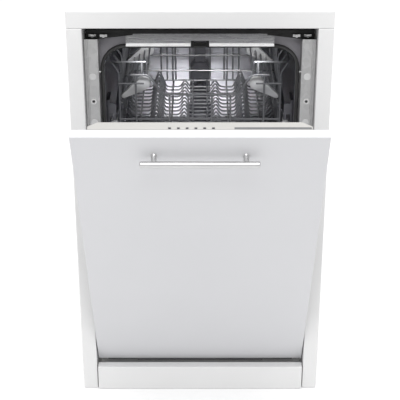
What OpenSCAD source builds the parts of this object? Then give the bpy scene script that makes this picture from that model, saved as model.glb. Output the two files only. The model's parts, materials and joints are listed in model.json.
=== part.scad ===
// Slim built-in dishwasher in its white housing, with the door held part open.
// X runs to the right, Y to the back and Z up, in millimetres.
// The origin is on the floor, under the middle of the housing's front edge.

/* [Housing] */
// Clear width between the side boards
niche_w = 450; // [450:1:454]
// Clear height under the worktop
niche_h = 829; // [829:1:850]
// Thickness of a side board
board_t = 30; // [18:1:38]
// Thickness of the worktop
worktop_t = 35; // [25:1:40]
// Depth of a side board
housing_d = 570; // [560:5:600]
// Depth of the worktop
worktop_d = 600; // [600:5:650]
// Height of the plinth board
plinth_h = 58; // [50:1:58]

/* [Machine] */
// Width over the front uprights
machine_w = 448; // [446:1:448]
// Height to the top of the front rail
machine_h = 815; // [815:1:820]
// Inner width of the tub
tub_w = 378; // [374:1:380]
// Radius of the tub's upper corners
tub_r = 43; // [30:1:50]
// Depth of the tub behind its mouth
tub_d = 480; // [478:1:482]

/* [Door] */
// Angle that the door stands open
door_open = 26; // [0:1:90]
// Width of the decor panel
panel_w = 446; // [440:1:446]
// Height of the decor panel
panel_h = 755; // [745:1:755]
// Thickness of the decor panel
panel_t = 18; // [16:1:18]
// Height of the hinge axis above the floor
hinge_z = 120; // [120:1:121]
// Distance of the hinge axis behind the decor panel's face
hinge_y = 35; // [35:1:36]
// Length of the handle bar
handle_l = 208; // [180:1:240]
// Diameter of the handle bar
handle_dia = 12; // [10:0.5:13]
// Distance between the handle posts
post_gap = 160; // [128:1:168]

/* [Baskets] */
// Thickness of the coated basket wire
wire = 4; // [3:0.5:4]
// Distance between the upper basket's floor wires
floor_pitch = 21; // [21:1:30]
// Height of the upper basket's floor
upper_z = 535; // [535:1:536]
// Height of the lower basket's floor
lower_z = 200; // [200:1:204]
// Lower basket travel for each degree of door angle
basket_per_deg = 2.6; // [2.2:0.1:2.6]

/* [Hidden] */
$fn = 64;
seam = 0.04;                        // hair between neighbouring runs of wire
panel_drop = 48;                    // decor panel below the hinge axis
panel_z = hinge_z - panel_drop;     // decor panel's lower edge, door shut
panel_top = panel_z + panel_h;
half = machine_w / 2;
upright_in = 197;                   // inner face of an upright
upright_y = 20;                     // front face of an upright
upright_lo = 132;
upright_hi = 793;
upright_lip = 801;                  // top of an upright's front face
mouth_y = 60;                       // plane of the tub's mouth
sheet = 2;
tub_x = tub_w / 2;
tub_lo = 150;
tub_hi = 772;
tub_back_y = mouth_y + tub_d;
tub_foot_r = 12;                    // radius of the tub's lower corners
base_hi = tub_lo - sheet;           // top of the base tray's side walls
rail_lo = 807;
trim_lo = 781;
lip_h = 6;                          // height of the strip's folded lip
trim_x = 144;
notch_x = 18;                       // latch notch in the trim strip
notch_hi = 792;
fix_x = 209;                        // screws and plugs in the uprights
cap_z = [628, 725];
fix_z = 673;
screw_r = 3.2;
low_screw_x = 207;                  // low-headed screws behind the shut door
low_screw_z = [180, 480];
base_lo = 45;
kick_lo = 8;                        // foot of the kick plates behind the plinth
base_x = 205;
arm_r = 150;                        // reach of a spray arm
low_arm_y = 345;
low_arm_z = 170;
filter_y = 262;
salt_x = -117;
salt_y = 180;
hub_y = 335;                        // upper spray arm's hub
dock_z = 520;
duct_y = 497;
duct_z = 551;                       // where the duct narrows to its riser
riser_y = 514;
pump = [300, 98];                   // axes of the pumps and of the inlet, in two directions
drain = [-120, 80];
drain_y = 350;
inlet = [-170, 85];
top_arm_z = 494;
pin_r = 4;
run_gap = 0.05;                     // radial clearance of a running fit
foot_y = 130;
foot_x = 185;
rear_foot_y = 500;
spring_x = 194;
spring_z = 100;
roller_y = 100;
roller_r = 10;
rail_z = [606, 620];
roller_z = rail_z[0] - roller_r - 0.4;
up_x = 163;                         // upper basket's side wires
up_y = [92, 480];
up_base = 549;                      // ring at the foot of the side wires
up_top = 729;
up_hoop_z = 640;                    // inner wire along the upper basket's sides
up_cross_z = [565, 603];            // wires across its back
up_front = [659, 701];              // front rim, in the middle and at the sides
up_front_x = [77, 103, 140];
up_floor_x = [16, 62, 130];         // straight wires under the plates
up_back_x = [24, 57, 64, 77, 91, 130];
up_flare = 178;
cup_x = 156;
cup_z = 650;
cup_y = [104, 316];
cup_tilt = 36;
low_x = 166;
low_y = [137, 486];
low_top = 328;
low_ring_z = 250;
wheel_r = 17;
wheel_z = 168;
wheel_y = [230, 440];
wheel_x = 168;
tine_x = -60;
tine_z = 209;
cutlery = [[22, 150, 206.5], [122, 350, 325]];
door_x = 194;
tray_hi = 782;
liner_hi = 777;
liner_x = 191;
pan_x = 172;
pan_z = [182, 762];
door_back = 50;                     // inner liner's edge, door shut
pan_back = 58;
arm_x = [180, 186];
console_z = 782;
console_x = [193, 176];
console_y = [25, 34.5];
button_x = [-52, -37, -22, -7, 8, 23];
button_y = 21.2;
button = [4, 3];
button_gap = 0.35;
window_x = [59, 191];
bar_y = -20;                        // handle bar's axis, in front of the panel
handle_z = 778;
box_lo = [-65, 40, 430];            // dispenser, door shut
box_hi = [65, 59, 530];
cup_lo = [-58, 44, 442];
cup_hi = [10, 59, 520];
lid_z = 437;
rinse = [40, 482];
latch_y = 38;
latch_z = 768;
striker_y = 47;
striker_z = 783;

// ---- building blocks ----

// box from its lowest to its highest corner
module block(lo, hi) {
    translate(lo) cube(hi - lo);
}

// rectangle with its corners cut at 45 degrees
module cut_rect(w, h, c) {
    polygon([[c, 0], [w - c, 0], [w, c], [w, h - c], [w - c, h], [c, h], [0, h - c], [0, c]]);
}

// box with every edge cut at 45 degrees
module soft_block(lo, hi, c = 1) {
    s = hi - lo;
    translate(lo) intersection() {
        linear_extrude(s[2]) cut_rect(s[0], s[1], c);
        translate([0, s[1], 0]) rotate([90, 0, 0]) linear_extrude(s[1]) cut_rect(s[0], s[2], c);
        rotate([90, 0, 90]) linear_extrude(s[0]) cut_rect(s[1], s[2], c);
    }
}

// an outline in X and Z, drawn out along Y
module along_y(y0, y1) {
    translate([0, y1, 0]) rotate([90, 0, 0]) linear_extrude(y1 - y0) children();
}

// an outline in Y and Z, drawn out along X
module along_x(x0, x1) {
    translate([x0, 0, 0]) rotate([90, 0, 90]) linear_extrude(x1 - x0) children();
}

// a rod along X, from x0 to x1
module rod_x(x0, x1, y, z, r) {
    translate([x0, y, z]) rotate([0, 90, 0]) cylinder(h = x1 - x0, r = r);
}

// a rod along Y, from y0 to y1
module rod_y(x, y0, y1, z, r) {
    translate([x, y1, z]) rotate([90, 0, 0]) cylinder(h = y1 - y0, r = r);
}

module both_sides() {
    children();
    mirror([1, 0, 0]) children();
}

// what is drawn with the door shut, turned to where the door stands
module on_door() {
    translate([0, hinge_y, hinge_z]) rotate([door_open, 0, 0])
        translate([0, -hinge_y, -hinge_z]) children();
}

// what is drawn with the lower basket home, moved out with the door
module on_lower_slide() {
    translate([0, -basket_per_deg * door_open, 0]) children();
}

// outline of the tub's mouth, larger all round by g
module mouth(g) {
    top = tub_r + g;
    foot = tub_foot_r + g;
    w = tub_x + g;
    hi = tub_hi + g;
    lo = tub_lo - g;
    translate([-w, lo + foot]) square([2 * w, hi - top - lo - foot]);
    translate([-w + top, hi - top]) square([2 * (w - top), top]);
    translate([-w + foot, lo]) square([2 * (w - foot), foot]);
    for (s = [-1, 1]) {
        translate([s * (w - top), hi - top]) circle(top);
        translate([s * (w - foot), lo + foot]) circle(foot);
    }
}

// direction in which a bent wire's outline steps aside at point i
function unit(v) = v / norm(v);
function side(v) = [-v[1], v[0]];
function joint(p, i) =
    i == 0 ? side(unit(p[1] - p[0])) :
    i == len(p) - 1 ? side(unit(p[i] - p[i - 1])) :
    let (a = side(unit(p[i] - p[i - 1])), b = side(unit(p[i + 1] - p[i])), m = unit(a + b))
    m / (m * a);

// one straight run of a bent wire, a hair short of its bends
function run(p, i, h) =
    let (hair = seam * unit(p[i + 1] - p[i]), a = p[i] + hair, b = p[i + 1] - hair)
    [a + h * joint(p, i), b + h * joint(p, i + 1), b - h * joint(p, i + 1), a - h * joint(p, i)];

// a wire bent in X and Z, with its middle at y
module wire_xz(p, y, w = wire) {
    for (i = [0 : len(p) - 2]) along_y(y - w / 2, y + w / 2) polygon(run(p, i, w / 2));
}

// straight wires along X, Y and Z, each a hair short of both ends
module wire_x(x0, x1, y, z, w = wire) {
    block([x0 + seam, y - w / 2, z - w / 2], [x1 - seam, y + w / 2, z + w / 2]);
}

module wire_y(x, y0, y1, z, w = wire) {
    block([x - w / 2, y0 + seam, z - w / 2], [x + w / 2, y1 - seam, z + w / 2]);
}

module wire_z(x, y, z0, z1, w = wire) {
    block([x - w / 2, y - w / 2, z0 + seam], [x + w / 2, y + w / 2, z1 - seam]);
}

// half an outline given for positive X, and its mirror image
function mirrored(p) = concat(
    [for (i = [len(p) - 1 : -1 : 0]) [-p[i][0], p[i][1]]], p);

// ---- housing ----

module side_board(x0) {
    soft_block([x0, 0, 0], [x0 + board_t, housing_d, niche_h]);
}

module housing_left_panel() {
    color("whitesmoke") side_board(-niche_w / 2 - board_t);
}

module housing_right_panel() {
    color("whitesmoke") side_board(niche_w / 2);
}

module housing_worktop() {
    x = niche_w / 2 + board_t;
    color("white") soft_block([-x, 0, niche_h], [x, worktop_d, niche_h + worktop_t], 1.5);
}

module plinth_panel() {
    x = panel_w / 2;
    color("whitesmoke") soft_block([-x, -4, 0], [x, 16, plinth_h], 1.2);
}

// ---- fixed structure ----

module tub_wrap() {
    color("silver") difference() {
        along_y(mouth_y + sheet, tub_back_y + sheet) mouth(sheet);
        along_y(mouth_y, tub_back_y) mouth(0);
        flat = tub_x - tub_foot_r;
        block([-flat, mouth_y, tub_lo - 2 * sheet], [flat, tub_back_y, tub_lo]);
    }
}

module tub_floor() {
    flat = tub_x - tub_foot_r;
    color("silver") difference() {
        block([-flat, mouth_y + sheet, tub_lo - sheet], [flat, tub_back_y, tub_lo]);
        translate([0, filter_y, 140]) cylinder(h = 20, r = 37);
        translate([0, low_arm_y, 140]) cylinder(h = 20, r = 9.3);
        translate([salt_x, salt_y, 140]) cylinder(h = 20, r = 27.5);
    }
}

module tub_front_frame() {
    color("dimgray") difference() {
        block([-upright_in, mouth_y, 142], [upright_in, mouth_y + sheet, rail_lo]);
        along_y(mouth_y - 1, mouth_y + sheet + 1) mouth(0);
    }
}

module mouth_gasket() {
    color("#2b2b2d") difference() {
        along_y(door_back + 0.5, mouth_y) mouth(7);
        along_y(door_back, mouth_y + 1) mouth(0);
    }
}

module upright() {
    difference() {
        union() {
            block([upright_in, upright_y, upright_lo], [half, upright_y + sheet, upright_lip]);
            block([upright_in, upright_y, upright_lo], [upright_in + sheet, mouth_y, upright_hi]);
            block([half - sheet, upright_y, upright_lo], [half, mouth_y, upright_hi]);
        }
        block([half - 7.5, upright_y - 1, upright_lo - 1],
              [half - 4.5, upright_y + 0.8, upright_lip + 1]);
        rod_y(fix_x, upright_y - 1, upright_y + sheet + 1, fix_z, 3);
        for (z = low_screw_z)
            rod_y(low_screw_x, upright_y - 1, upright_y + sheet + 1, z, screw_r / 2 + 0.1);
    }
}

module front_uprights() {
    color("silver") both_sides() upright();
}

module striker_cheek(x0, x1) {
    block([x0, 38, trim_lo - 1.5], [x1, 56, notch_hi]);
}

module top_front_rail() {
    color("#1c1c1e") {
        difference() {
            block([-221, 36, rail_lo], [221, mouth_y + sheet, machine_h]);
            both_sides() translate([162, 54, rail_lo - 1]) cylinder(h = 12, r = 6);
        }
        block([-17.5, 40, notch_hi], [17.5, 56, rail_lo]);
        both_sides() striker_cheek(12, 17.5);
        rod_x(-12, 12, striker_y, striker_z, 2.5);
    }
}

// strip over the tub's mouth, with a folded lip along its foot and a notch for the latch
module top_trim_strip() {
    color("gainsboro") {
        block([-trim_x, 38, notch_hi], [trim_x, 40, rail_lo]);
        both_sides() {
            block([notch_x, 38, trim_lo], [trim_x, 40, notch_hi]);
            along_x(notch_x, trim_x)
                polygon([[38, trim_lo + lip_h], [36.3, trim_lo + 0.8], [36.3, trim_lo],
                         [38, trim_lo]]);
            block([trim_x - 2, 36.6, trim_lo + lip_h], [trim_x, 38, rail_lo - 5]);
        }
    }
}

// wedge under the rail's outer end, and the tab that is screwed to the worktop
module worktop_bracket() {
    difference() {
        union() {
            along_y(36, 38) polygon([[222, 794], [222, rail_lo - 0.2], [130, rail_lo - 0.2],
                                     [130, 804.5], [218, 794]]);
            block([150, 42, machine_h], [175, 66, machine_h + sheet]);
        }
        translate([162, 54, machine_h - 1]) cylinder(h = 4, r = 2.5);
    }
}

module worktop_brackets() {
    color("#26282a") both_sides() worktop_bracket();
}

// cross-recessed head of height h on a short shank, facing the front
module screw(x, y, z, h = 2.4) {
    difference() {
        union() {
            rod_y(x, y - h, y, z, screw_r);
            rod_y(x, y, y + 1.9, z, screw_r / 2);
        }
        block([x - 2, y - h - 1, z - 0.5], [x + 2, y - h / 2, z + 0.5]);
        block([x - 0.5, y - h - 1, z - 2], [x + 0.5, y - h / 2, z + 2]);
    }
}

module fixing_screws() {
    color("silver") both_sides() {
        rod_x(upright_in - 2.4, upright_in, 40, 727, 3);
        for (x = [186.5, 208]) {
            block([x - 7, 33.5, 801.5], [x + 7, 36, 806.5]);
            screw(x, 33.5, 804);
        }
        for (z = low_screw_z) screw(low_screw_x, upright_y, z, 1.2);
    }
}

module fixing_ring(z) {
    difference() {
        rod_y(fix_x, upright_y - 1.2, upright_y, z, 6);
        rod_y(fix_x, upright_y - 2, upright_y + 1, z, 3);
    }
}

module screw_plug(z) {
    difference() {
        rod_y(fix_x, upright_y - 1.5, upright_y, z, 7);
        rod_y(fix_x, upright_y - 2, upright_y - 1, z, 3.5);
    }
}

module screw_caps() {
    color("whitesmoke") both_sides() {
        fixing_ring(fix_z);
        for (z = cap_z) screw_plug(z);
    }
}

module foot_boss(x, y) {
    translate([x, y, base_lo]) cylinder(h = 35, r = 10);
}

module foot_bore(x, y) {
    translate([x, y, base_lo - 1]) cylinder(h = 40, r = 5 + run_gap);
}

module base_tray() {
    color("#3a3b3e") difference() {
        union() {
            block([-base_x - 4, 97, base_lo], [base_x + 4, 545, base_lo + 3]);
            both_sides() block([base_x, 97, base_lo], [base_x + 4, 545, base_hi]);
            block([-142, 97, kick_lo], [142, 100, 146]);
            both_sides() block([140, 100, kick_lo], [base_x + 4, 103, base_lo + 3]);
            block([-base_x, 520, base_lo], [base_x, 524, base_hi]);
            both_sides() foot_boss(foot_x, foot_y);
            foot_boss(0, rear_foot_y);
        }
        both_sides() foot_bore(foot_x, foot_y);
        foot_bore(0, rear_foot_y);
        rod_y(drain[0], 515, 530, drain[1], 12);
        rod_y(inlet[0], 515, 530, inlet[1], 16);
        for (x = [-110 : 20 : 110]) block([x - 6, 96, 62], [x + 6, 101, 66]);
    }
}

module rear_cover() {
    color("silver") difference() {
        block([-200, tub_back_y + sheet, 100], [200, tub_back_y + sheet + 1.5, 790]);
        for (x = [-120, 0, 120]) block([x - 4, 540, 200], [x + 4, 546, 700]);
    }
}

// ---- water parts under the tub ----

module sump() {
    color("#4a4c50") {
        difference() {
            block([-60, 210, 60], [60, 385, tub_lo - sheet]);
            translate([0, filter_y, 72]) cylinder(h = 90, r = 37);
            translate([0, low_arm_y, 72]) cylinder(h = 90, r = 7);
        }
        difference() {
            translate([0, low_arm_y, 140]) cylinder(h = 40, r = 9);
            translate([0, low_arm_y, 139]) cylinder(h = 42, r = 7);
        }
    }
}

module circulation_pump() {
    color("#8d9094") {
        rod_x(60, 92, pump[0], pump[1], 38);
        rod_x(92, 170, pump[0], pump[1], 30);
        for (x = [104 : 12 : 152]) rod_x(x, x + 4, pump[0], pump[1], 33);
        block([100, pump[0] - 15, base_lo + 3], [150, pump[0] + 15, 70]);
    }
}

module drain_pump() {
    color("#5a5d61") {
        rod_x(-140, -60, drain_y, drain[1], 22);
        rod_y(drain[0], drain_y, 530, drain[1], 11);
        rod_y(drain[0], 530, 556, drain[1], 9.5);
        block([-130, drain_y - 10, base_lo + 3], [-100, drain_y + 10, 60]);
    }
}

module water_softener() {
    color("whitesmoke") difference() {
        union() {
            soft_block([-170, 140, 50], [-66, 205, tub_lo - sheet], 3);
            translate([salt_x, salt_y, 140]) cylinder(h = 12, r = 27);
        }
        translate([salt_x, salt_y, 60]) cylinder(h = 100, r = 20);
    }
}

module inlet_valve() {
    color("#d8d8d4") difference() {
        union() {
            block([-190, 500, 62], [-150, 519.5, 108]);
            rod_y(inlet[0], 519, 548, inlet[1], 10);
            rod_y(inlet[0], 545, 563, inlet[1], 13.2);
        }
        rod_y(inlet[0], 530, 570, inlet[1], 6);
    }
}

module feed_duct() {
    color("#3f4147") {
        difference() {
            union() {
                block([-24, duct_y, tub_lo + 1], [24, tub_back_y - 0.5, duct_z]);
                rod_y(0, duct_y, tub_back_y - 0.5, duct_z, 24);
                rod_y(0, 490, duct_y, dock_z, 18);
                block([-13, riser_y, duct_z + 9], [13, tub_back_y - 0.5, 745]);
            }
            rod_y(0, 480, 520, dock_z, 12);
        }
        translate([0, riser_y, 738]) cylinder(h = 14, r = 16);
    }
}

module roller_bracket() {
    block([183, 78, 572], [tub_x, 122, 652]);
    block([168, 78, rail_z[1] + 0.6], [183, 122, rail_z[1] + 4]);
    block([170, 78, rail_z[1] + 4], [183, 81, rail_z[1] + 24]);
    rod_x(168, 183, roller_y, roller_z, 3);
}

module roller_brackets() {
    color("silver") both_sides() roller_bracket();
}

module rail_rollers() {
    color("whitesmoke") both_sides() difference() {
        union() {
            rod_x(169.5, 177, roller_y, roller_z, roller_r);
            rod_x(177, 180, roller_y, roller_z, 6);
        }
        rod_x(160, 190, roller_y, roller_z, 3 + run_gap);
    }
}

// ---- hinges and springs ----

module hinge_bracket() {
    along_x(200, base_x)
        polygon([[27, 112], [60, 112], [102, 95], [200, 95], [200, base_hi], [27, base_hi]]);
    rod_x(178, 200, hinge_y, hinge_z, pin_r);
}

module hinge_brackets() {
    color("#9a9da1") both_sides() hinge_bracket();
}

module door_spring() {
    rod_y(spring_x, 118, 250, spring_z, 2);
    for (y = [125 : 6 : 240]) rod_y(spring_x, y, y + 3, spring_z, 6);
    block([spring_x - 3, 250, spring_z - 6], [base_x, 256, spring_z + 6]);
}

module door_springs() {
    color("#b5b7ba") both_sides() door_spring();
}

// ---- feet, filter, caps and lower arm ----

module foot(x, y) {
    translate([x, y, 0]) {
        cylinder(h = 6, r = 17);
        translate([0, 0, 6]) cylinder(h = 4, r1 = 14, r2 = 9);
        cylinder(h = 78, r = 5);
        translate([0, 0, 14]) cylinder(h = 7, r = 9, $fn = 6);
    }
}

module foot_front_left() {
    color("#55575b") foot(-foot_x, foot_y);
}

module foot_front_right() {
    color("#55575b") foot(foot_x, foot_y);
}

module foot_rear() {
    color("#55575b") foot(0, rear_foot_y);
}

module filter_cylinder() {
    color("#6b6e73") translate([0, filter_y, 0]) {
        difference() {
            translate([0, 0, 76]) cylinder(h = 75, r = 35.5);
            translate([0, 0, 80]) cylinder(h = 80, r = 32.5);
        }
        translate([0, 0, 120]) difference() {
            cylinder(h = 31, r = 32.6);
            translate([0, 0, 3]) cylinder(h = 40, r = 26);
        }
        block([-3, -30, 135], [3, 30, 162]);
    }
}

module salt_cap() {
    color("#6b6e73") translate([salt_x, salt_y, 152.4]) {
        cylinder(h = 8, r = 29);
        for (a = [0 : 45 : 359]) rotate([0, 0, a]) block([26, -3, 0], [31, 3, 8]);
        block([-24, -3, 8], [24, 3, 13]);
    }
}

// two blades with rounded ends on a hub, with nozzles along the top
module spray_arm(hub_r, bore_r, drop) {
    difference() {
        union() {
            block([-arm_r + 15, -15, 0], [arm_r - 15, 15, 10]);
            for (s = [-1, 1]) translate([s * (arm_r - 15), 0, 0]) cylinder(h = 10, r = 15);
            translate([0, 0, drop]) cylinder(h = 10 - drop + 4, r = hub_r);
        }
        translate([0, 0, drop - 1]) cylinder(h = 30, r = bore_r);
        for (x = [-132 : 24 : 132])
            if (abs(x) > 30) translate([x, x > 0 ? 7 : -7, 8]) cylinder(h = 4, r = 2);
    }
}

module lower_spray_arm() {
    color("#7d8085") translate([0, low_arm_y, low_arm_z]) spray_arm(19, 9 + run_gap, -10);
}

// ---- upper basket ----

// a floor wire from beside the middle out to the foot of the side wires
wave = [[24, upper_z], [35, upper_z + 18], [46, upper_z], [78, upper_z], [94, upper_z + 42],
        [110, upper_z], [150, upper_z], [up_x - wire, up_base]];
front_rim = [[up_front_x[0], up_front[0]], [up_front_x[1], up_front[1]],
             [up_front_x[2], up_front[1]]];
side_wire = [[up_x, up_base + wire / 2], [up_x, up_top - 22], [175, up_top - 4.4]];
rim_w = 5;                          // thicker wire of the front and back rims
beside = wire + seam;               // from one wire's middle to that of a wire laid on it

module upper_basket_floor() {
    z = upper_z + beside;
    color("#8b8f95") {
        for (y = [up_y[0] + floor_pitch : floor_pitch : up_y[1] - 10]) wire_xz(mirrored(wave), y);
        for (x = up_floor_x) both_sides()
            wire_y(x, up_y[0] + wire / 2, up_y[1] - wire / 2, z);
        for (y = up_y) wire_x(-132, 132, y, z);
    }
}

// place of the basket's side wire number i
function post_y(i) = up_y[0] + i * (up_y[1] - up_y[0]) / 8;

module upper_side_rail() {
    block([170, 84, rail_z[0]], [176, up_y[1], rail_z[1]]);
    for (i = [1, 4, 7])
        block([up_x + wire / 2 + seam, post_y(i) - 4, rail_z[0] + 2],
              [170 - seam, post_y(i) + 4, rail_z[1] - 2]);
}

module upper_basket_sides() {
    y0 = up_y[0];
    y1 = up_y[1];
    foot = upper_z + 1.5 * wire + seam;
    end = wire / 2;
    color("#8b8f95") {
        wire_xz(mirrored(front_rim), y0, rim_w);
        wire_x(end - up_flare, up_flare - end, y1, up_top, rim_w);
        both_sides() {
            wire_y(up_flare, y0 - end, y1 + end, up_top);
            wire_x(108, up_flare - end, y0, up_top);
            wire_z(117, y0, up_front[1] + rim_w / 2, up_top - end);
            wire_x(113, 165, y0 - beside, 684);
            wire_y(up_x, y0 - end, y1 + end, up_base);
            wire_y(up_x - beside, y0 - end, y1 + end, up_hoop_z);
            for (i = [0 : 8]) wire_xz(side_wire, post_y(i));
            for (x = up_back_x) wire_z(x, y1, foot, up_top - rim_w / 2);
            for (x = [24, 62]) wire_z(x, y0, foot, up_front[0] - rim_w / 2);
            wire_z(130, y0, foot, up_front[1] - rim_w / 2);
            upper_side_rail();
        }
        for (z = up_cross_z) wire_x(-165, 165, y1 - beside, z);
        wire_x(-165, 165, y0 + beside, up_cross_z[1]);
    }
}

module upper_feed_pipe() {
    color("#3f4147") difference() {
        union() {
            block([-19, hub_y, 512], [19, 478, 528]);
            rod_y(0, 470, 488.5, dock_z, 11.5);
            translate([0, hub_y, 510]) cylinder(h = 23, r = 30);
            translate([0, hub_y, top_arm_z - 8]) cylinder(h = 25, r = 8);
            translate([0, hub_y, top_arm_z - 10]) cylinder(h = 4, r = 11);
        }
        translate([0, hub_y, top_arm_z - 12]) cylinder(h = 30, r = 5);
        rod_y(0, hub_y, 500, dock_z, 5);
    }
}

module upper_spray_arm() {
    color("#7d8085") translate([0, hub_y, top_arm_z]) spray_arm(18, 8 + run_gap, -5.5);
}

// leaf-shaped end of a shelf, wide at its free end
module cup_arm(y0, y1) {
    along_y(y0, y1) hull() {
        circle(4.5);
        translate([-49.5, -2]) circle(14);
    }
}

// sloping shelf: a hinge rod and four wires between two leaf-shaped ends
module cup_shelf() {
    y0 = cup_y[0];
    y1 = cup_y[1];
    translate([cup_x, 0, cup_z]) rotate([0, cup_tilt, 0]) {
        cup_arm(y0, y0 + 12);
        cup_arm(y1 - 12, y1);
        rod_y(0, y0 + 12 + seam, y1 - 12 - seam, 0, 3);
        for (x = [-16, -30, -44, -58]) rod_y(x, y0 + 12 + seam, y1 - 12 - seam, 0, 1.75);
    }
}

module cup_shelf_left() {
    color("#c5c8cb") mirror([1, 0, 0]) cup_shelf();
}

module cup_shelf_right() {
    color("#c5c8cb") cup_shelf();
}

// ---- lower basket ----

low_side = [[150, lower_z], [low_x, lower_z + 16], [low_x, low_top - wire / 2]];

module wheel_mount(y) {
    block([150, y - 8, wheel_z - 8], [157, y + 8, lower_z - wire / 2 - seam]);
    rod_x(157 + seam, 178, y, wheel_z, 3);
}

module lower_basket() {
    y0 = low_y[0];
    y1 = low_y[1];
    step = (y1 - y0) / 12;
    end = wire / 2;
    color("#8b8f95") on_lower_slide() {
        for (i = [0 : 12]) wire_xz(mirrored(low_side), y0 + i * step);
        for (x = [0, 50, 100, 144]) both_sides() wire_y(x, y0 + end, y1 - end, lower_z + beside);
        both_sides() {
            wire_y(low_x, y0 - end, y1 + end, low_top);
            wire_y(low_x - beside, y0 - end, y1 + end, low_ring_z);
        }
        for (y = low_y) {
            wire_x(end - low_x, low_x - end, y, low_top);
            for (x = [-120 : 40 : 120]) wire_z(x, y, lower_z + end, low_top - end);
        }
        for (y = [y0 - beside, y1 + beside]) wire_x(-168, 168, y, low_ring_z);
        for (i = [1 : 11]) wire_z(0, y0 + i * step, lower_z + beside + end, 270);
        both_sides() for (y = wheel_y) wheel_mount(y);
    }
}

module wheel(y) {
    difference() {
        union() {
            rod_x(wheel_x - 7, wheel_x + 7, y, wheel_z, 9);
            rod_x(wheel_x - 4, wheel_x + 4, y, wheel_z, wheel_r);
        }
        rod_x(wheel_x - 12, wheel_x + 12, y, wheel_z, 3 + run_gap);
    }
}

module lower_wheels_front() {
    color("#6f7276") on_lower_slide() both_sides() wheel(wheel_y[0]);
}

module lower_wheels_rear() {
    color("#6f7276") on_lower_slide() both_sides() wheel(wheel_y[1]);
}

module folding_tines() {
    color("#8b8f95") on_lower_slide() {
        rod_y(tine_x, low_y[0] + 15, low_y[1] - 15, tine_z, wire / 2);
        for (y = [low_y[0] + 24 : 25 : low_y[1] - 20]) wire_z(tine_x, y, tine_z, 280, 3.5);
    }
}

module cutlery_basket() {
    lo = cutlery[0];
    hi = cutlery[1];
    mid = (lo + hi) / 2;
    color("#54575b") on_lower_slide() {
        difference() {
            block(lo, hi);
            block(lo + [2.5, 2.5, 2.5], [mid[0] - 1.2, hi[1] - 2.5, hi[2] + 1]);
            block([mid[0] + 1.2, lo[1] + 2.5, lo[2] + 2.5], [hi[0] - 2.5, hi[1] - 2.5, hi[2] + 1]);
            for (y = [lo[1] + 12 : 31 : hi[1] - 30])
                block([lo[0] - 1, y, lo[2] + 12], [hi[0] + 1, y + 21, hi[2] - 14]);
            for (x = [lo[0] + 9, mid[0] + 7]) {
                block([x, lo[1] - 1, lo[2] + 12], [x + 34, hi[1] + 1, hi[2] - 14]);
                for (y = [lo[1] + 12 : 31 : hi[1] - 30])
                    block([x, y, lo[2] - 1], [x + 34, y + 21, lo[2] + 5]);
            }
        }
    }
}

// ---- door ----

module decor_panel() {
    x = panel_w / 2;
    color("#dcdde0") on_door() soft_block([-x, 0, panel_z], [x, panel_t, panel_top], 0.8);
}

module door_handle() {
    r = handle_dia / 2;
    color("gainsboro") on_door() {
        rod_x(-handle_l / 2, handle_l / 2, bar_y, handle_z, r);
        both_sides() rod_y(post_gap / 2, bar_y, 0, handle_z, r - 1);
    }
}

module door_outer_panel() {
    color("#a9abad") on_door() difference() {
        block([-door_x, panel_t, 102], [door_x, door_back - 4, tray_hi]);
        block([-door_x + sheet, panel_t + sheet, 104], [door_x - sheet, door_back, tray_hi - 3]);
        block([-door_x - 1, 34.5, liner_hi - 1], [door_x + 1, door_back, tray_hi + 1]);
        block([-door_x - 1, door_back - 10, 90], [door_x + 1, door_back, 106]);
        rod_x(-door_x - 1, door_x + 1, hinge_y, hinge_z, 9);
    }
}

// outline of the liner's raised middle, larger all round by g
module pan_outline(g) {
    r = 30 + g;
    w = pan_x + g;
    lo = pan_z[0] - g;
    hi = pan_z[1] + g;
    translate([r - w, lo]) square([2 * (w - r), hi - lo]);
    translate([-w, lo + r]) square([2 * w, hi - lo - 2 * r]);
    for (x = [r - w, w - r], z = [lo + r, hi - r]) translate([x, z]) circle(r);
}

module door_inner_liner() {
    color("silver") on_door() difference() {
        union() {
            block([-liner_x, 24, 106], [liner_x, door_back, liner_hi]);
            along_y(door_back - sheet, pan_back) pan_outline(0);
        }
        block([-liner_x + sheet, 20, 104], [liner_x - sheet, door_back - sheet, liner_hi - sheet]);
        along_y(20, pan_back - sheet) pan_outline(-sheet);
        block([box_lo[0] - 1, 20, box_lo[2] - 1], [box_hi[0] + 1, 70, box_hi[2] + 1]);
        block([-8, 30, 770], [8, door_back + 1, liner_hi + 1]);
        rod_x(-liner_x - 1, liner_x + 1, hinge_y, hinge_z, 9);
    }
}

module control_console() {
    top = panel_top;
    color("#f1eee8") on_door() difference() {
        translate([0, 0, console_z]) linear_extrude(top - console_z)
            polygon([[-console_x[0], panel_t], [console_x[0], panel_t],
                     [console_x[0], console_y[0]], [console_x[1], console_y[1]],
                     [-console_x[1], console_y[1]], [-console_x[0], console_y[0]]]);
        block([window_x[0], 19, top - 3], [window_x[1], 23, top + 1]);
        for (x = button_x)
            block([x - button[0] / 2 - button_gap, button_y - button[1] / 2 - button_gap, top - 12],
                  [x + button[0] / 2 + button_gap, button_y + button[1] / 2 + button_gap, top + 1]);
    }
}

module display_window() {
    color("#55585c") on_door()
        block([window_x[0], 19, panel_top - 3], [window_x[1], 23, panel_top + 0.2]);
}

module push_button(i) {
    x = button_x[i];
    color("#5b5e62") on_door()
        soft_block([x - button[0] / 2, button_y - button[1] / 2, panel_top - 9],
                   [x + button[0] / 2, button_y + button[1] / 2, panel_top + 0.8], 0.5);
}

module latch_hook() {
    color("#c9cbcd") on_door() difference() {
        along_x(-5, 5) polygon([[30, 760], [46, 760], [46, 776], [50, 779], [50, 790], [36, 790],
                                [36, 778], [30, 774]]);
        block([-6, 44.2, 779.5], [6, 51, 786.5]);
        rod_x(-6, 6, latch_y, latch_z, 2.5);
    }
}

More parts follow.
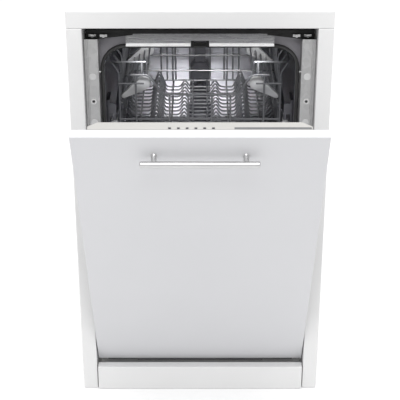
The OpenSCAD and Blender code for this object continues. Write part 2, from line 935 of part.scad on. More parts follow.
module hinge_arms() {
    color("#9a9da1") on_door() both_sides() difference() {
        union() {
            along_x(arm_x[0], arm_x[1])
                polygon([[26, 110], [44, 110], [44, 300], [panel_t + sheet, 300],
                         [panel_t + sheet, 190], [26, 180]]);
            block([160, panel_t + sheet, 190], [arm_x[0], panel_t + 2 * sheet, 300]);
        }
        rod_x(170, 190, hinge_y, hinge_z, pin_r + run_gap);
    }
}

module dispenser_body() {
    color("#d9dadb") on_door() difference() {
        block(box_lo, box_hi);
        block(cup_lo, cup_hi + [0, 1, 0]);
        rod_y(rinse[0], 50, 61, rinse[1], 12);
    }
}

// lid over the powder cup, with its catch
module dispenser_lid() {
    x0 = cup_lo[0] - 3;
    x1 = cup_hi[0] + 3;
    y = box_hi[1];
    color("#c9cbcd") on_door() {
        soft_block([x0, y + 0.4, lid_z], [x1, y + 3.4, cup_hi[2] + 4], 0.8);
        soft_block([-32, y + 3.4, 505], [-16, y + 7, 519], 0.8);
        rod_x(x0, x1, y + 1.9, lid_z, 1.5);
    }
}

// plug in the filling hole, with a flange and a grip across it
module rinse_aid_cap() {
    x = rinse[0];
    z = rinse[1];
    y = box_hi[1];
    color("#54575b") on_door() {
        rod_y(x, 52, y + 0.4, z, 11);
        rod_y(x, y + 0.4, y + 5, z, 17);
        block([x - 2.5, y + 5, z - 14], [x + 2.5, y + 9, z + 14]);
    }
}

housing_left_panel();
housing_right_panel();
housing_worktop();
plinth_panel();
tub_wrap();
tub_floor();
tub_front_frame();
mouth_gasket();
front_uprights();
top_front_rail();
top_trim_strip();
worktop_brackets();
fixing_screws();
screw_caps();
base_tray();
rear_cover();
sump();
circulation_pump();
drain_pump();
water_softener();
inlet_valve();
feed_duct();
roller_brackets();
door_springs();
hinge_brackets();
foot_front_left();
foot_front_right();
foot_rear();
filter_cylinder();
salt_cap();
lower_spray_arm();
rail_rollers();
upper_basket_sides();
upper_basket_floor();
upper_feed_pipe();
upper_spray_arm();
cup_shelf_left();
cup_shelf_right();
lower_basket();
lower_wheels_front();
lower_wheels_rear();
folding_tines();
cutlery_basket();
decor_panel();
door_handle();
door_outer_panel();
door_inner_liner();
control_console();
display_window();
push_button(0);  // button_1
push_button(1);  // button_2
push_button(2);  // button_3
push_button(3);  // button_4
push_button(4);  // button_5
push_button(5);  // button_6
latch_hook();
hinge_arms();
dispenser_body();
dispenser_lid();
rinse_aid_cap();
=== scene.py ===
# A slim built-in dishwasher in its white housing, with the door part open, on a pale floor.
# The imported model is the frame. Wires, springs, seal, spray arms, wheels and handle are built
# finely here. The other pieces keep their CAD shape; many of them get softened edges, and all of
# them their finishes. Lengths are in metres, except those given to mm(), in millimetres.

import json
import math

import bmesh
import bpy
from mathutils import Matrix, Vector


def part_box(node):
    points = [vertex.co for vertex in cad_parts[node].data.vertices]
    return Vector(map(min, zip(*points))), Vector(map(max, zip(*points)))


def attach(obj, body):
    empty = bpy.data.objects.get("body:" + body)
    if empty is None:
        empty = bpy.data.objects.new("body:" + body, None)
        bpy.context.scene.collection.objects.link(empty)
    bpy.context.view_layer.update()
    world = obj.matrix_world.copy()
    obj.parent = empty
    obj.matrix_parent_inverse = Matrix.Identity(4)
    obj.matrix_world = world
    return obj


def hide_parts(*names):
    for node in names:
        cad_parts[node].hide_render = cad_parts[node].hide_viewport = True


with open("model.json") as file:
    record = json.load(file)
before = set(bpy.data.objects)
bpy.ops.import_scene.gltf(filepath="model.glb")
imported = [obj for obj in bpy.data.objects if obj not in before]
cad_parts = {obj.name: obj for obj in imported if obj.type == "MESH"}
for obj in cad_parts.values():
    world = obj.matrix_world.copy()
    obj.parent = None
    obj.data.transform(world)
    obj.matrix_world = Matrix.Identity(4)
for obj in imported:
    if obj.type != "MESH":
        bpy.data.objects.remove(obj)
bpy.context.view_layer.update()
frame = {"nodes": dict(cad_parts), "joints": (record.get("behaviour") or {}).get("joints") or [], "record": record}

SLOT_OF = {s["node"]: s["material_slot"] for s in frame["record"]["subparts"]}
JOINTS = {j["name"]: j for j in frame["joints"]}
SHARP = math.radians(38)               # mesh edges bent more than this keep their crease


# ---- shapes ----

def mm(*values):
    """A point given in millimetres."""
    return Vector(values) * 0.001


def joint_at(name):
    """The point that a joint's axis passes through."""
    return Vector(JOINTS[name]["pos_m"])


def profile_mm(points):
    """A profile given in millimetres."""
    return [(x * 0.001, r * 0.001) for x, r in points]


def rounded(points, radius, steps=4, closed=False):
    """A bent line with each of its corners drawn as a curve of about that radius."""
    n = len(points)
    share = 0.48                       # of a straight run, the most that one bend may take
    out = []
    for i, p in enumerate(points):
        if not closed and i in (0, n - 1):
            out.append(p.copy())
            continue
        a, b = points[i - 1] - p, points[(i + 1) % n] - p
        reach = min(radius, a.length * share, b.length * share)
        a, b = p + a.normalized() * reach, p + b.normalized() * reach
        for k in range(steps + 1):
            t = k / steps
            out.append(a * (1 - t) ** 2 + p * (2 * t * (1 - t)) + b * t ** 2)
    return out


def close_rings(bm, rings, closed):
    """Skins neighbouring rings of points, and shuts the two ends of an open row of rings."""
    n = len(rings[0])
    for a, b in zip(rings, rings[1:] + rings[:1] if closed else rings[1:]):
        for k in range(n):
            bm.faces.new((a[k], a[(k + 1) % n], b[(k + 1) % n], b[k]))
    if not closed:
        bm.faces.new(rings[0][::-1])
        bm.faces.new(rings[-1])


def wire(bm, points, radius, bend=0.008, sides=8, closed=False):
    """A round wire along a bent line, with round bends and domed ends."""
    path = rounded(points, bend, closed=closed) if bend else list(points)
    dome, tip = 0.4, 0.6               # length and end radius of a domed end, in wire radii
    if not closed:
        first, last = (path[1] - path[0]).normalized(), (path[-1] - path[-2]).normalized()
        path = [path[0], path[0] + first * radius * dome] + path[1:-1]
        path += [points[-1] - last * radius * dome, points[-1].copy()]
    n = len(path)
    rings, normal, before = [], None, None
    for i, p in enumerate(path):
        a = path[i - 1] if closed or i else p
        b = path[(i + 1) % n] if closed or i < n - 1 else p
        ahead = (b - a).normalized()
        if normal is None:
            up = Vector((0, 0, 1)) if abs(ahead.z) < 0.9 else Vector((1, 0, 0))
            normal = up.cross(ahead).normalized()
        else:
            normal = before.rotation_difference(ahead) @ normal
        before = ahead
        side = ahead.cross(normal)
        r = radius * (tip if not closed and i in (0, n - 1) else 1)
        turn = [2 * math.pi * k / sides for k in range(sides)]
        rings.append([bm.verts.new(p + (normal * math.cos(t) + side * math.sin(t)) * r)
                      for t in turn])
    close_rings(bm, rings, closed)


def lathe(bm, profile, place, segments=40, closed=False):
    """Turns a profile of (distance along X, radius) about the X axis, then puts it in place."""
    rings = []
    for k in range(segments):
        t = 2 * math.pi * k / segments
        rings.append([bm.verts.new(place @ Vector((x, r * math.cos(t), r * math.sin(t))))
                      for x, r in profile])
    n = len(profile)
    for a, b in zip(rings, rings[1:] + rings[:1]):
        for k in range(n if closed else n - 1):
            j = (k + 1) % n
            bm.faces.new((a[k], a[j], b[j], b[k]))
    if not closed:
        bm.faces.new([r[0] for r in rings])
        bm.faces.new([r[-1] for r in rings][::-1])


def soft_box(bm, lo, hi, edge):
    """A box between two corners with rounded edges."""
    made = bmesh.ops.create_cube(bm, size=1)["verts"]
    size, middle = hi - lo, (lo + hi) / 2
    for v in made:
        v.co = Vector(c * s for c, s in zip(v.co, size)) + middle
    edges = list(dict.fromkeys(e for v in made for e in v.link_edges))
    bmesh.ops.bevel(bm, geom=edges, offset=edge, segments=2, affect="EDGES", profile=0.6)


def side_box(bm, side, across, along, up, edge):
    """A rounded box between two values on each axis, to the left (-1) or the right (1)."""
    a, b = sorted(side * x for x in across)
    soft_box(bm, Vector((a, along[0], up[0])), Vector((b, along[1], up[1])), edge)


def piece(name, bm, slot, body, *nodes):
    """Makes a mesh into a piece that rides on a body and stands for the CAD nodes named."""
    mesh = bpy.data.meshes.new(name)
    bmesh.ops.recalc_face_normals(bm, faces=bm.faces)
    bm.to_mesh(mesh)
    bm.free()
    mesh.polygons.foreach_set("use_smooth", [True] * len(mesh.polygons))
    mesh.set_sharp_from_angle(angle=SHARP)
    obj = bpy.data.objects.new(name, mesh)
    bpy.context.scene.collection.objects.link(obj)
    mesh.materials.append(finish(slot))
    if nodes:
        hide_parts(*nodes)
    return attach(obj, body)


def on_door():
    """Turns what is placed with the door shut to where the door stands."""
    hinge = joint_at("door_hinge")
    angle = math.radians(-JOINTS["door_hinge"]["range_deg"][0])
    return (Matrix.Translation(hinge) @ Matrix.Rotation(angle, 4, "X")
            @ Matrix.Translation(-hinge))


def mirrored(points):
    """Half a line that starts off the middle, with its whole mirror image before it."""
    return [Vector((-p.x, p.y, p.z)) for p in points[::-1]] + points


# ---- material nodes ----

def surface(name):
    """A new material, with its node tree and its Principled shader."""
    mat = bpy.data.materials.new(name)
    mat.use_nodes = True
    return mat, mat.node_tree, mat.node_tree.nodes["Principled BSDF"]


def place_of(nt, scale=(1, 1, 1)):
    """Where a point of the surface is in the row frame, stretched by scale."""
    coords = nt.nodes.new("ShaderNodeTexCoord")
    mapping = nt.nodes.new("ShaderNodeMapping")
    mapping.inputs["Scale"].default_value = scale
    nt.links.new(coords.outputs["Object"], mapping.inputs["Vector"])
    return mapping.outputs["Vector"]


def noise(nt, scale, stretch=(1, 1, 1), detail=3):
    """Smooth random variation, with scale features per metre."""
    n = nt.nodes.new("ShaderNodeTexNoise")
    n.inputs["Scale"].default_value = scale
    n.inputs["Detail"].default_value = detail
    n.inputs["Roughness"].default_value = 0.55
    nt.links.new(place_of(nt, stretch), n.inputs["Vector"])
    return n.outputs["Fac"]


def between(nt, value, low, high, start=0.3, end=0.7):
    """Spreads a value from start..end over low..high."""
    m = nt.nodes.new("ShaderNodeMapRange")
    m.interpolation_type = "SMOOTHSTEP"
    for socket, v in (("From Min", start), ("From Max", end), ("To Min", low), ("To Max", high)):
        m.inputs[socket].default_value = v
    nt.links.new(value, m.inputs["Value"])
    return m.outputs["Result"]


def maths(nt, operation, a, b):
    """One sum on two values, either of which may be a plain number."""
    m = nt.nodes.new("ShaderNodeMath")
    m.operation = operation
    for socket, v in zip(m.inputs, (a, b)):
        if isinstance(v, (int, float)):
            socket.default_value = v
        else:
            nt.links.new(v, socket)
    return m.outputs["Value"]


def blend(nt, value, dark, light):
    """Colours between dark and light, by a value from 0 to 1."""
    ramp = nt.nodes.new("ShaderNodeValToRGB")
    ramp.color_ramp.elements[0].color = (*dark, 1)
    ramp.color_ramp.elements[1].color = (*light, 1)
    nt.links.new(value, ramp.inputs["Fac"])
    return ramp.outputs["Color"]


def raised(nt, bsdf, height, depth):
    """Lets a height from 0 to 1 show as relief of that depth."""
    bump = nt.nodes.new("ShaderNodeBump")
    bump.inputs["Strength"].default_value = 1.0
    bump.inputs["Distance"].default_value = depth
    nt.links.new(height, bump.inputs["Height"])
    nt.links.new(bump.outputs["Normal"], bsdf.inputs["Normal"])


def grey(value):
    """A neutral colour."""
    return (value, value, value)


def axis_of(nt, axis):
    """One coordinate of the surface's place, in metres."""
    split = nt.nodes.new("ShaderNodeSeparateXYZ")
    nt.links.new(place_of(nt), split.inputs["Vector"])
    return split.outputs[axis]


def add_painted_shade(nt, bsdf, factor):
    """The base colour so far, darkened as painted shade by a factor that changes over the surface."""
    dim = nt.nodes.new("ShaderNodeVectorMath")
    dim.operation = "SCALE"
    nt.links.new(bsdf.inputs["Base Color"].links[0].from_socket, dim.inputs["Vector"])
    nt.links.new(factor, dim.inputs["Scale"])
    nt.links.new(dim.outputs["Vector"], bsdf.inputs["Base Color"])
    return dim.outputs["Vector"]


def moulded(name, dark, light, roughness, grain=1800, depth=0.00006, coat=0.0):
    """Moulded plastic: faint mottling, uneven gloss and a fine spark-eroded grain."""
    mat, nt, bsdf = surface(name)
    cloud = noise(nt, 16)
    nt.links.new(blend(nt, between(nt, cloud, 0, 1), dark, light), bsdf.inputs["Base Color"])
    worn = noise(nt, 60, detail=5)
    nt.links.new(between(nt, worn, roughness - 0.06, roughness + 0.08), bsdf.inputs["Roughness"])
    raised(nt, bsdf, noise(nt, grain, detail=2), depth)
    bsdf.inputs["Coat Weight"].default_value = coat
    bsdf.inputs["Coat Roughness"].default_value = 0.15
    return mat


def brushed(name, dark, light, roughness, stretch, relief=0.00002):
    """Brushed metal: fine lines, drawn out along the axis that stretch makes small."""
    mat, nt, bsdf = surface(name)
    lines = noise(nt, 900, stretch, detail=4)
    cloud = noise(nt, 7)
    share = 0.75                       # of the shade that comes from the lines
    mixed = maths(nt, "MULTIPLY_ADD", lines, share)
    nt.links.new(maths(nt, "MULTIPLY", cloud, 1 - share), mixed.node.inputs[2])
    nt.links.new(blend(nt, between(nt, mixed, 0, 1), dark, light), bsdf.inputs["Base Color"])
    nt.links.new(between(nt, lines, roughness - 0.06, roughness + 0.1), bsdf.inputs["Roughness"])
    raised(nt, bsdf, lines, relief)
    bsdf.inputs["Metallic"].default_value = 1.0
    return mat


# ---- finishes, one for each material slot ----

def white_board():
    """Melamine-faced board: nearly even white with a faint pearl texture."""
    mat, nt, bsdf = surface("white_board")
    cloud = noise(nt, 5, detail=2)
    nt.links.new(blend(nt, between(nt, cloud, 0, 1), grey(0.715), grey(0.735)),
                 bsdf.inputs["Base Color"])
    nt.links.new(between(nt, noise(nt, 40), 0.42, 0.5), bsdf.inputs["Roughness"])
    raised(nt, bsdf, noise(nt, 1400, detail=2), 0.00005)
    return mat


def decor_board():
    """Satin foil on the door's decor panel, with a very faint upright grain."""
    mat, nt, bsdf = surface("decor_board")
    grain = noise(nt, 500, (1, 1, 0.03), detail=4)
    cloud = noise(nt, 3, detail=2)
    shade = maths(nt, "ADD", maths(nt, "MULTIPLY", grain, 0.3), maths(nt, "MULTIPLY", cloud, 0.7))
    nt.links.new(blend(nt, between(nt, shade, 0, 1), (0.575, 0.577, 0.594), (0.590, 0.592, 0.609)),
                 bsdf.inputs["Base Color"])
    nt.links.new(between(nt, grain, 0.36, 0.44), bsdf.inputs["Roughness"])
    raised(nt, bsdf, grain, 0.00003)
    return mat


def stainless():
    """Tub steel, brushed front to back, with painted shade that darkens it towards the side walls."""
    mat = brushed("stainless", (0.46, 0.46, 0.50), (0.50, 0.50, 0.545), 0.34, (1, 0.03, 1),
                  relief=0.000002)
    nt, bsdf = mat.node_tree, mat.node_tree.nodes["Principled BSDF"]
    # painted shade: the base colour falls to 0.4 of itself between 130 and 180 mm from the middle, standing for
    # the dark reflections in the side walls
    side_shade_distance = maths(nt, "ABSOLUTE", axis_of(nt, "X"), 0)
    add_painted_shade(nt, bsdf, between(nt, side_shade_distance, 1, 0.4, 0.130, 0.180))
    return mat


def galvanised():
    """Zinc-coated sheet with its faint crystal pattern."""
    mat, nt, bsdf = surface("galvanised")
    crystals = nt.nodes.new("ShaderNodeTexVoronoi")
    crystals.inputs["Scale"].default_value = 110
    nt.links.new(place_of(nt), crystals.inputs["Vector"])
    patch = nt.nodes.new("ShaderNodeRGBToBW")
    nt.links.new(crystals.outputs["Color"], patch.inputs["Color"])
    nt.links.new(blend(nt, patch.outputs["Val"], grey(0.44), grey(0.56)),
                 bsdf.inputs["Base Color"])
    nt.links.new(between(nt, patch.outputs["Val"], 0.36, 0.5, 0, 1), bsdf.inputs["Roughness"])
    raised(nt, bsdf, noise(nt, 700), 0.00003)
    bsdf.inputs["Metallic"].default_value = 0.75
    return mat


def dark_sheet():
    """Dark coated steel sheet, slightly purple, with a fine orange-peel skin."""
    return moulded("dark_sheet", (0.31, 0.30, 0.325), (0.35, 0.34, 0.365), 0.4, 900, 0.00008)


def black_plastic():
    """Black moulding of the striker's rail and the brackets."""
    return moulded("black_plastic", grey(0.002), grey(0.004), 0.65)


def dark_plastic():
    """Dark grey moulding, slightly blue."""
    return moulded("dark_plastic", (0.055, 0.055, 0.064), (0.075, 0.075, 0.086), 0.42)


def grey_plastic():
    """Mid-grey moulding of the water parts and the wheels."""
    return moulded("grey_plastic", grey(0.09), (0.12, 0.122, 0.13), 0.4)


def light_plastic():
    """Light grey moulding with a soft gloss."""
    return moulded("light_plastic", grey(0.40), (0.45, 0.455, 0.47), 0.38, coat=0.1)


def cream_plastic():
    """The console's warm off-white."""
    return moulded("cream_plastic", (0.378, 0.371, 0.355), (0.402, 0.395, 0.378), 0.36, coat=0.1)


def white_plastic():
    """Pale moulding of the screw caps, rollers and water parts."""
    return moulded("white_plastic", grey(0.57), grey(0.61), 0.38, coat=0.1)


def gasket_rubber():
    """Black seal rubber with a dusty bloom."""
    return moulded("gasket_rubber", grey(0.035), grey(0.06), 0.62, 1100, 0.0001)


def bright_trim():
    """Satin strip with painted shade that darkens it upwards under the worktop, and a painted highlight that makes
    its folded lip near white and less metallic along the foot.
    """
    mat = brushed("bright_trim", grey(0.56), grey(0.68), 0.26, (0.03, 1, 1))
    nt, bsdf = mat.node_tree, mat.node_tree.nodes["Principled BSDF"]
    height = axis_of(nt, "Z")
    lo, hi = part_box("top_trim_strip")
    fold = lo.z + 0.006
    # painted highlight: below the fold the lip is painted near white and made less metallic, for the light it
    # catches
    lip = between(nt, height, 1, 0, fold, fold + 0.0008)
    painted_lip_highlight = nt.nodes.new("ShaderNodeMixRGB")
    nt.links.new(lip, painted_lip_highlight.inputs["Fac"])
    # painted shade: above the fold the colour falls to 0.62 of itself towards the top, for the shade under the
    # worktop
    rising_painted_shade = between(nt, height, 1, 0.62, fold, hi.z)
    nt.links.new(add_painted_shade(nt, bsdf, rising_painted_shade), painted_lip_highlight.inputs["Color1"])
    painted_lip_highlight.inputs["Color2"].default_value = (0.95, 0.95, 0.95, 1)
    nt.links.new(painted_lip_highlight.outputs["Color"], bsdf.inputs["Base Color"])
    nt.links.new(between(nt, lip, 1, 0.3, 0, 1), bsdf.inputs["Metallic"])
    return mat


def handle_steel():
    """Satin chrome, brushed along the bar."""
    mat = brushed("handle_steel", grey(0.50), grey(0.60), 0.32, (0.03, 1, 1))
    mat.node_tree.nodes["Principled BSDF"].inputs["Metallic"].default_value = 0.85
    return mat


def screw_steel():
    """Plated steel of the screws, the springs and the latch."""
    return brushed("screw_steel", grey(0.55), grey(0.68), 0.28, (1, 1, 1))


def coated_wire():
    """Grey nylon dipped wire: smooth, slightly uneven in thickness and gloss."""
    return moulded("coated_wire", (0.115, 0.118, 0.128), (0.155, 0.158, 0.168), 0.32, 260, 0.0001,
                   coat=0.25)


def window():
    """Smoked display window with a glossy face."""
    return moulded("window", (0.075, 0.077, 0.083), (0.095, 0.097, 0.103), 0.22, 2400, 0.00002,
                   coat=0.5)


FINISHES = {make.__name__: make for make in (
    white_board, decor_board, stainless, galvanised, dark_sheet, black_plastic, dark_plastic,
    grey_plastic, light_plastic, cream_plastic, white_plastic, gasket_rubber, bright_trim,
    handle_steel, screw_steel, coated_wire, window)}
MADE = {}


def finish(slot):
    """The material for a slot, made once."""
    if slot not in MADE:
        MADE[slot] = FINISHES[slot]()
    return MADE[slot]


def paint_cad_nodes():
    """Gives every CAD node its slot's finish."""
    for name, obj in frame["nodes"].items():
        if not obj.material_slots:
            obj.data.materials.append(None)
        for s in obj.material_slots:
            s.material = finish(SLOT_OF[name])


def soften(width, *nodes):
    """Rounds the edges of CAD pieces for the light to catch."""
    for name in nodes:
        obj = frame["nodes"][name]
        weld = obj.modifiers.new("weld", "WELD")
        weld.merge_threshold = 0.00001
        bevel = obj.modifiers.new("edges", "BEVEL")
        bevel.width = width
        bevel.segments = 2
        bevel.limit_method = "ANGLE"
        bevel.angle_limit = math.radians(40)


# ---- upper basket ----

THICK = 0.004                          # diameter of a basket wire
RIM_R = 0.0023                         # radius of a rim's thicker wire
FINE_R = 0.00175                       # radius of the wires of the tines and cup shelves
UPPER_FLOOR = 0.535
UPPER_SIDE = 0.163                     # the side wires' distance from the middle
UPPER_RIM = 0.729
UPPER_FLARE = 0.178                    # the same at the rim, where the sides lean out
FRONT_RIM = (0.659, 0.701)             # the low front rim's height in the middle and beside it


def upper_ends():
    """The places along Y of the upper basket's front and back walls."""
    lo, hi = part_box("upper_basket_floor")
    return lo.y + THICK / 2, hi.y - THICK / 2


def straight(bm, a, b, radius=THICK / 2):
    """A straight wire between two points in metres."""
    wire(bm, [Vector(a), Vector(b)], radius, bend=0)


def upper_basket_floor():
    """Floor wires bent over low and high ridges, on straight wires from front to back."""
    y0, y1 = upper_ends()
    bm = bmesh.new()
    ridge = [(24, 0), (35, 18), (46, 0), (78, 0), (94, 42), (110, 0), (150, 0), (159, 14)]
    count, pitch, end_x = 17, 0.021, 0.132
    for i in range(1, count + 1):
        y = y0 + pitch * i
        line = [mm(x, 0, z) + Vector((0, y, UPPER_FLOOR)) for x, z in ridge]
        wire(bm, mirrored(line), THICK / 2, bend=0.007)
    z = UPPER_FLOOR + THICK
    for x in (0.016, 0.062, 0.130):
        for s in (-1, 1):
            straight(bm, (s * x, y0, z), (s * x, y1, z))
    for y in (y0, y1):
        straight(bm, (-end_x, y, z), (end_x, y, z))
    piece("upper_basket_floor_wires", bm, "coated_wire", "upper_basket", "upper_basket_floor")


def upper_rims(bm, y0, y1):
    """The rim round the back and sides with its front corners, and the lower front rim."""
    front_end = 0.108                  # where the upper rim stops, either side of the dip
    corner = mirrored([Vector((front_end, 0, UPPER_RIM)), Vector((UPPER_FLARE, 0, UPPER_RIM))])
    back = [Vector((s * UPPER_FLARE, y1, UPPER_RIM)) for s in (1, -1)]
    front = [p + Vector((0, y0, 0)) for p in corner]
    wire(bm, front[2:] + back + front[:2], RIM_R, bend=0.014, sides=10)
    dip, shoulder = FRONT_RIM
    low = [Vector((0.077, 0, dip)), Vector((0.103, 0, shoulder)), Vector((0.140, 0, shoulder))]
    wire(bm, mirrored([p + Vector((0, y0, 0)) for p in low]), RIM_R, bend=0.010, sides=10)


def upper_basket_sides():
    """Side, back and front wires of the upper basket, with its rims."""
    y0, y1 = upper_ends()
    floor = UPPER_FLOOR + THICK
    foot, lean, shelf_z, cross_x = 0.549, 0.707, 0.684, 0.165
    bm = bmesh.new()
    upper_rims(bm, y0, y1)
    for s in (-1, 1):
        for i in range(9):
            y = y0 + (y1 - y0) * i / 8
            wire(bm, [Vector((s * UPPER_SIDE, y, foot)), Vector((s * UPPER_SIDE, y, lean)),
                      Vector((s * 0.177, y, UPPER_RIM - 0.0015))], THICK / 2)
        for x, z in ((UPPER_SIDE, foot), (UPPER_SIDE - THICK, 0.640)):
            straight(bm, (s * x, y0, z), (s * x, y1, z))
        for x in (0.024, 0.057, 0.064, 0.077, 0.091, 0.130):
            straight(bm, (s * x, y1, floor), (s * x, y1, UPPER_RIM))
        for x, top in ((0.024, FRONT_RIM[0]), (0.062, FRONT_RIM[0]), (0.130, FRONT_RIM[1])):
            straight(bm, (s * x, y0, floor), (s * x, y0, top))
        straight(bm, (s * 0.117, y0, FRONT_RIM[1]), (s * 0.117, y0, UPPER_RIM))
        straight(bm, (s * 0.113, y0 - THICK, shelf_z), (s * cross_x, y0 - THICK, shelf_z))
    for y, heights in ((y1 - THICK, (0.565, 0.603)), (y0 + THICK, (0.603,))):
        for z in heights:
            straight(bm, (-cross_x, y, z), (cross_x, y, z))
    piece("upper_basket_side_wires", bm, "coated_wire", "upper_basket", "upper_basket_sides")


def upper_basket_rails():
    """The slides on the basket's sides, on three stand-offs each."""
    y0, y1 = upper_ends()
    bm = bmesh.new()
    for s in (-1, 1):
        side_box(bm, s, (0.170, 0.176), (y0 - 0.008, y1), (0.606, 0.620), 0.0012)
        for i in (1, 4, 7):
            y = y0 + (y1 - y0) * i / 8
            side_box(bm, s, (0.160, 0.171), (y - 0.004, y + 0.004), (0.608, 0.618), 0.0008)
    piece("upper_basket_rails", bm, "stainless", "upper_basket", "upper_basket_sides")


def leaf(bm, side, y0, y1, place):
    """A shelf's end plate: wide and round at its free end, narrow at the hinge, edges eased."""
    hinge, tip = (0, 0, 4.5), (-49.5, -2, 14)     # x, z and radius of each end, in millimetres
    ease, half_way = 0.9, 0.3
    rings = []
    for y, inset in ((y0, ease), (y0 + half_way, half_way), (y0 + ease, 0),
                     (y1 - ease, 0), (y1 - half_way, half_way), (y1, ease)):
        ring = []
        for (x, z, r), start, end in ((hinge, -77, 98), (tip, 98, 283)):
            for k in range(13):
                t = math.radians(start + (end - start) * k / 12)
                point = mm(side * (x + (r - inset) * math.cos(t)), y,
                           z + (r - inset) * math.sin(t))
                ring.append(bm.verts.new(place @ point))
        rings.append(ring)
    close_rings(bm, rings, False)


def cup_shelf(side, name):
    """A sloping shelf: a hinge rod and four wires between two leaf-shaped end plates."""
    rod = joint_at(name + "_fold")
    lo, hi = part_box(name)
    y0, y1 = lo.y * 1000, hi.y * 1000
    slope, plate = math.radians(36), 12
    place = Matrix.Translation((rod.x, 0, rod.z)) @ Matrix.Rotation(side * slope, 4, "Y")
    bm = bmesh.new()
    for a, b in ((y0, y0 + plate), (y1 - plate, y1)):
        leaf(bm, side, a, b, place)
    piece(name + "_ends", bm, "light_plastic", name, name)
    bm = bmesh.new()
    for x in (0, -16, -30, -44, -58):
        ends = [place @ mm(side * x, y, 0) for y in (y0 + 2, y1 - 2)]
        r = FINE_R if x else 0.003
        wire(bm, ends, r, bend=0, sides=10)
    piece(name + "_wires", bm, "coated_wire", name, name)


# ---- lower basket ----

def lower_basket():
    """U-shaped wires across, rings round the walls and straight wires along the floor."""
    lo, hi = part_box("lower_basket")
    y0, y1 = lo.y + 1.5 * THICK, hi.y - 1.5 * THICK
    hoops = 13
    step = (y1 - y0) / (hoops - 1)
    floor, side, top = 0.200, 0.166, 0.328
    bm = bmesh.new()
    half = [mm(150, 0, 200), mm(166, 0, 216), mm(166, 0, 328)]
    for i in range(hoops):
        line = [p + Vector((0, y0 + i * step, 0)) for p in half]
        wire(bm, mirrored(line), THICK / 2, bend=0.012)
    for x in (-0.144, -0.100, -0.050, 0, 0.050, 0.100, 0.144):
        straight(bm, (x, y0, floor + THICK), (x, y1, floor + THICK))
    for z, inset, r in ((0.250, THICK, THICK / 2), (top, 0, RIM_R)):
        x, a, b = side - inset, y0 - inset, y1 + inset
        ring = [Vector((-x, a, z)), Vector((x, a, z)), Vector((x, b, z)), Vector((-x, b, z))]
        wire(bm, ring, r, bend=0.008, sides=10, closed=True)
    for y in (y0, y1):
        for i in range(-3, 4):
            straight(bm, (0.040 * i, y, floor), (0.040 * i, y, top))
    for i in range(1, hoops - 1):
        y = y0 + i * step
        straight(bm, (0, y, floor + THICK), (0, y, 0.270))
    piece("lower_basket_wires", bm, "coated_wire", "lower_basket_frame", "lower_basket")


def wheel_mounts():
    """Moulded blocks under the lower basket that hold the wheels' axles."""
    bm = bmesh.new()
    pin = profile_mm([(0, 3), (22, 3), (22.6, 2.8), (23, 2.2)])
    for name in ("front_wheels_roll", "rear_wheels_roll"):
        hub = joint_at(name)
        for s in (-1, 1):
            side_box(bm, s, (0.150, 0.157), (hub.y - 0.008, hub.y + 0.008),
                     (hub.z - 0.008, 0.198), 0.0012)
            turn = Matrix.Translation((s * 0.155, hub.y, hub.z)) @ Matrix.Scale(s, 4, (1, 0, 0))
            lathe(bm, pin, turn, 20)
    piece("lower_basket_wheel_mounts", bm, "grey_plastic", "lower_basket_frame", "lower_basket")


def wheels(name, body):
    """Two wheels with a rounded tread, a dished face and a boss."""
    hub = joint_at(name)
    half = [(7, 3.1), (7, 7.6), (6.4, 8.6), (4.4, 9), (2.6, 9.6), (2.4, 13.2), (3.8, 13.8),
            (4, 15.4), (3.4, 16.6), (2, 17)]
    profile = profile_mm(half + [(-x, r) for x, r in half[::-1]])
    bm = bmesh.new()
    for s in (-1, 1):
        turn = Matrix.Translation((s * 0.168, hub.y, hub.z))
        lathe(bm, profile, turn, 40, closed=True)
    piece(body + "_pair", bm, "grey_plastic", body, body)


def rail_rollers():
    """Rollers that carry the upper basket's slides, with a rounded tread and a boss."""
    hub = joint_at("rail_roller_spin")
    profile = profile_mm([(169.5, 3.1), (169.5, 9), (170.3, 10), (176.2, 10), (177, 9.2),
                          (177.2, 6.2), (179.6, 6), (180, 5.6), (180, 3.1)])
    bm = bmesh.new()
    for s in (-1, 1):
        turn = Matrix.Translation((0, hub.y, hub.z)) @ Matrix.Scale(s, 4, (1, 0, 0))
        lathe(bm, profile, turn, 36, closed=True)
    piece("rail_roller_pair", bm, "white_plastic", "rail_rollers", "rail_rollers")


def folding_tines():
    """A row of wire prongs on the rod that they fold about."""
    lo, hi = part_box("folding_tines")
    rod = joint_at("tines_fold")
    first, pitch = 0.011, 0.025
    bm = bmesh.new()
    straight(bm, (rod.x, lo.y, rod.z), (rod.x, hi.y, rod.z))
    y = lo.y + first
    while y < hi.y:
        straight(bm, (rod.x, y, rod.z), (rod.x, y, hi.z), FINE_R)
        y += pitch
    piece("folding_tine_wires", bm, "coated_wire", "folding_tines", "folding_tines")


# ---- water parts ----

def blade_ring(bm, place, x, reach):
    """One section across a spray arm, which narrows and thins to round ends."""
    taper, half_wide, half_deep, middle = 0.015, 0.015, 0.0052, 0.005
    least, thinnest, flatter = 0.0004, 0.55, 0.94
    tip = max(0, abs(x) - (reach - taper)) / taper
    wide = half_wide * math.sqrt(max(least, 1 - tip * tip))
    deep = half_deep * (thinnest + (1 - thinnest) * math.sqrt(max(0, 1 - tip * tip)))
    ring = []
    for k in range(16):
        t = 2 * math.pi * k / 16
        c, s = math.cos(t), math.sin(t)
        y = wide * math.copysign(abs(c) ** 0.7, c)
        z = deep * math.copysign(abs(s) ** 0.8, s) * (1 if s > 0 else flatter)
        ring.append(bm.verts.new(place @ Vector((x, y, middle + z * 0.96))))
    return ring


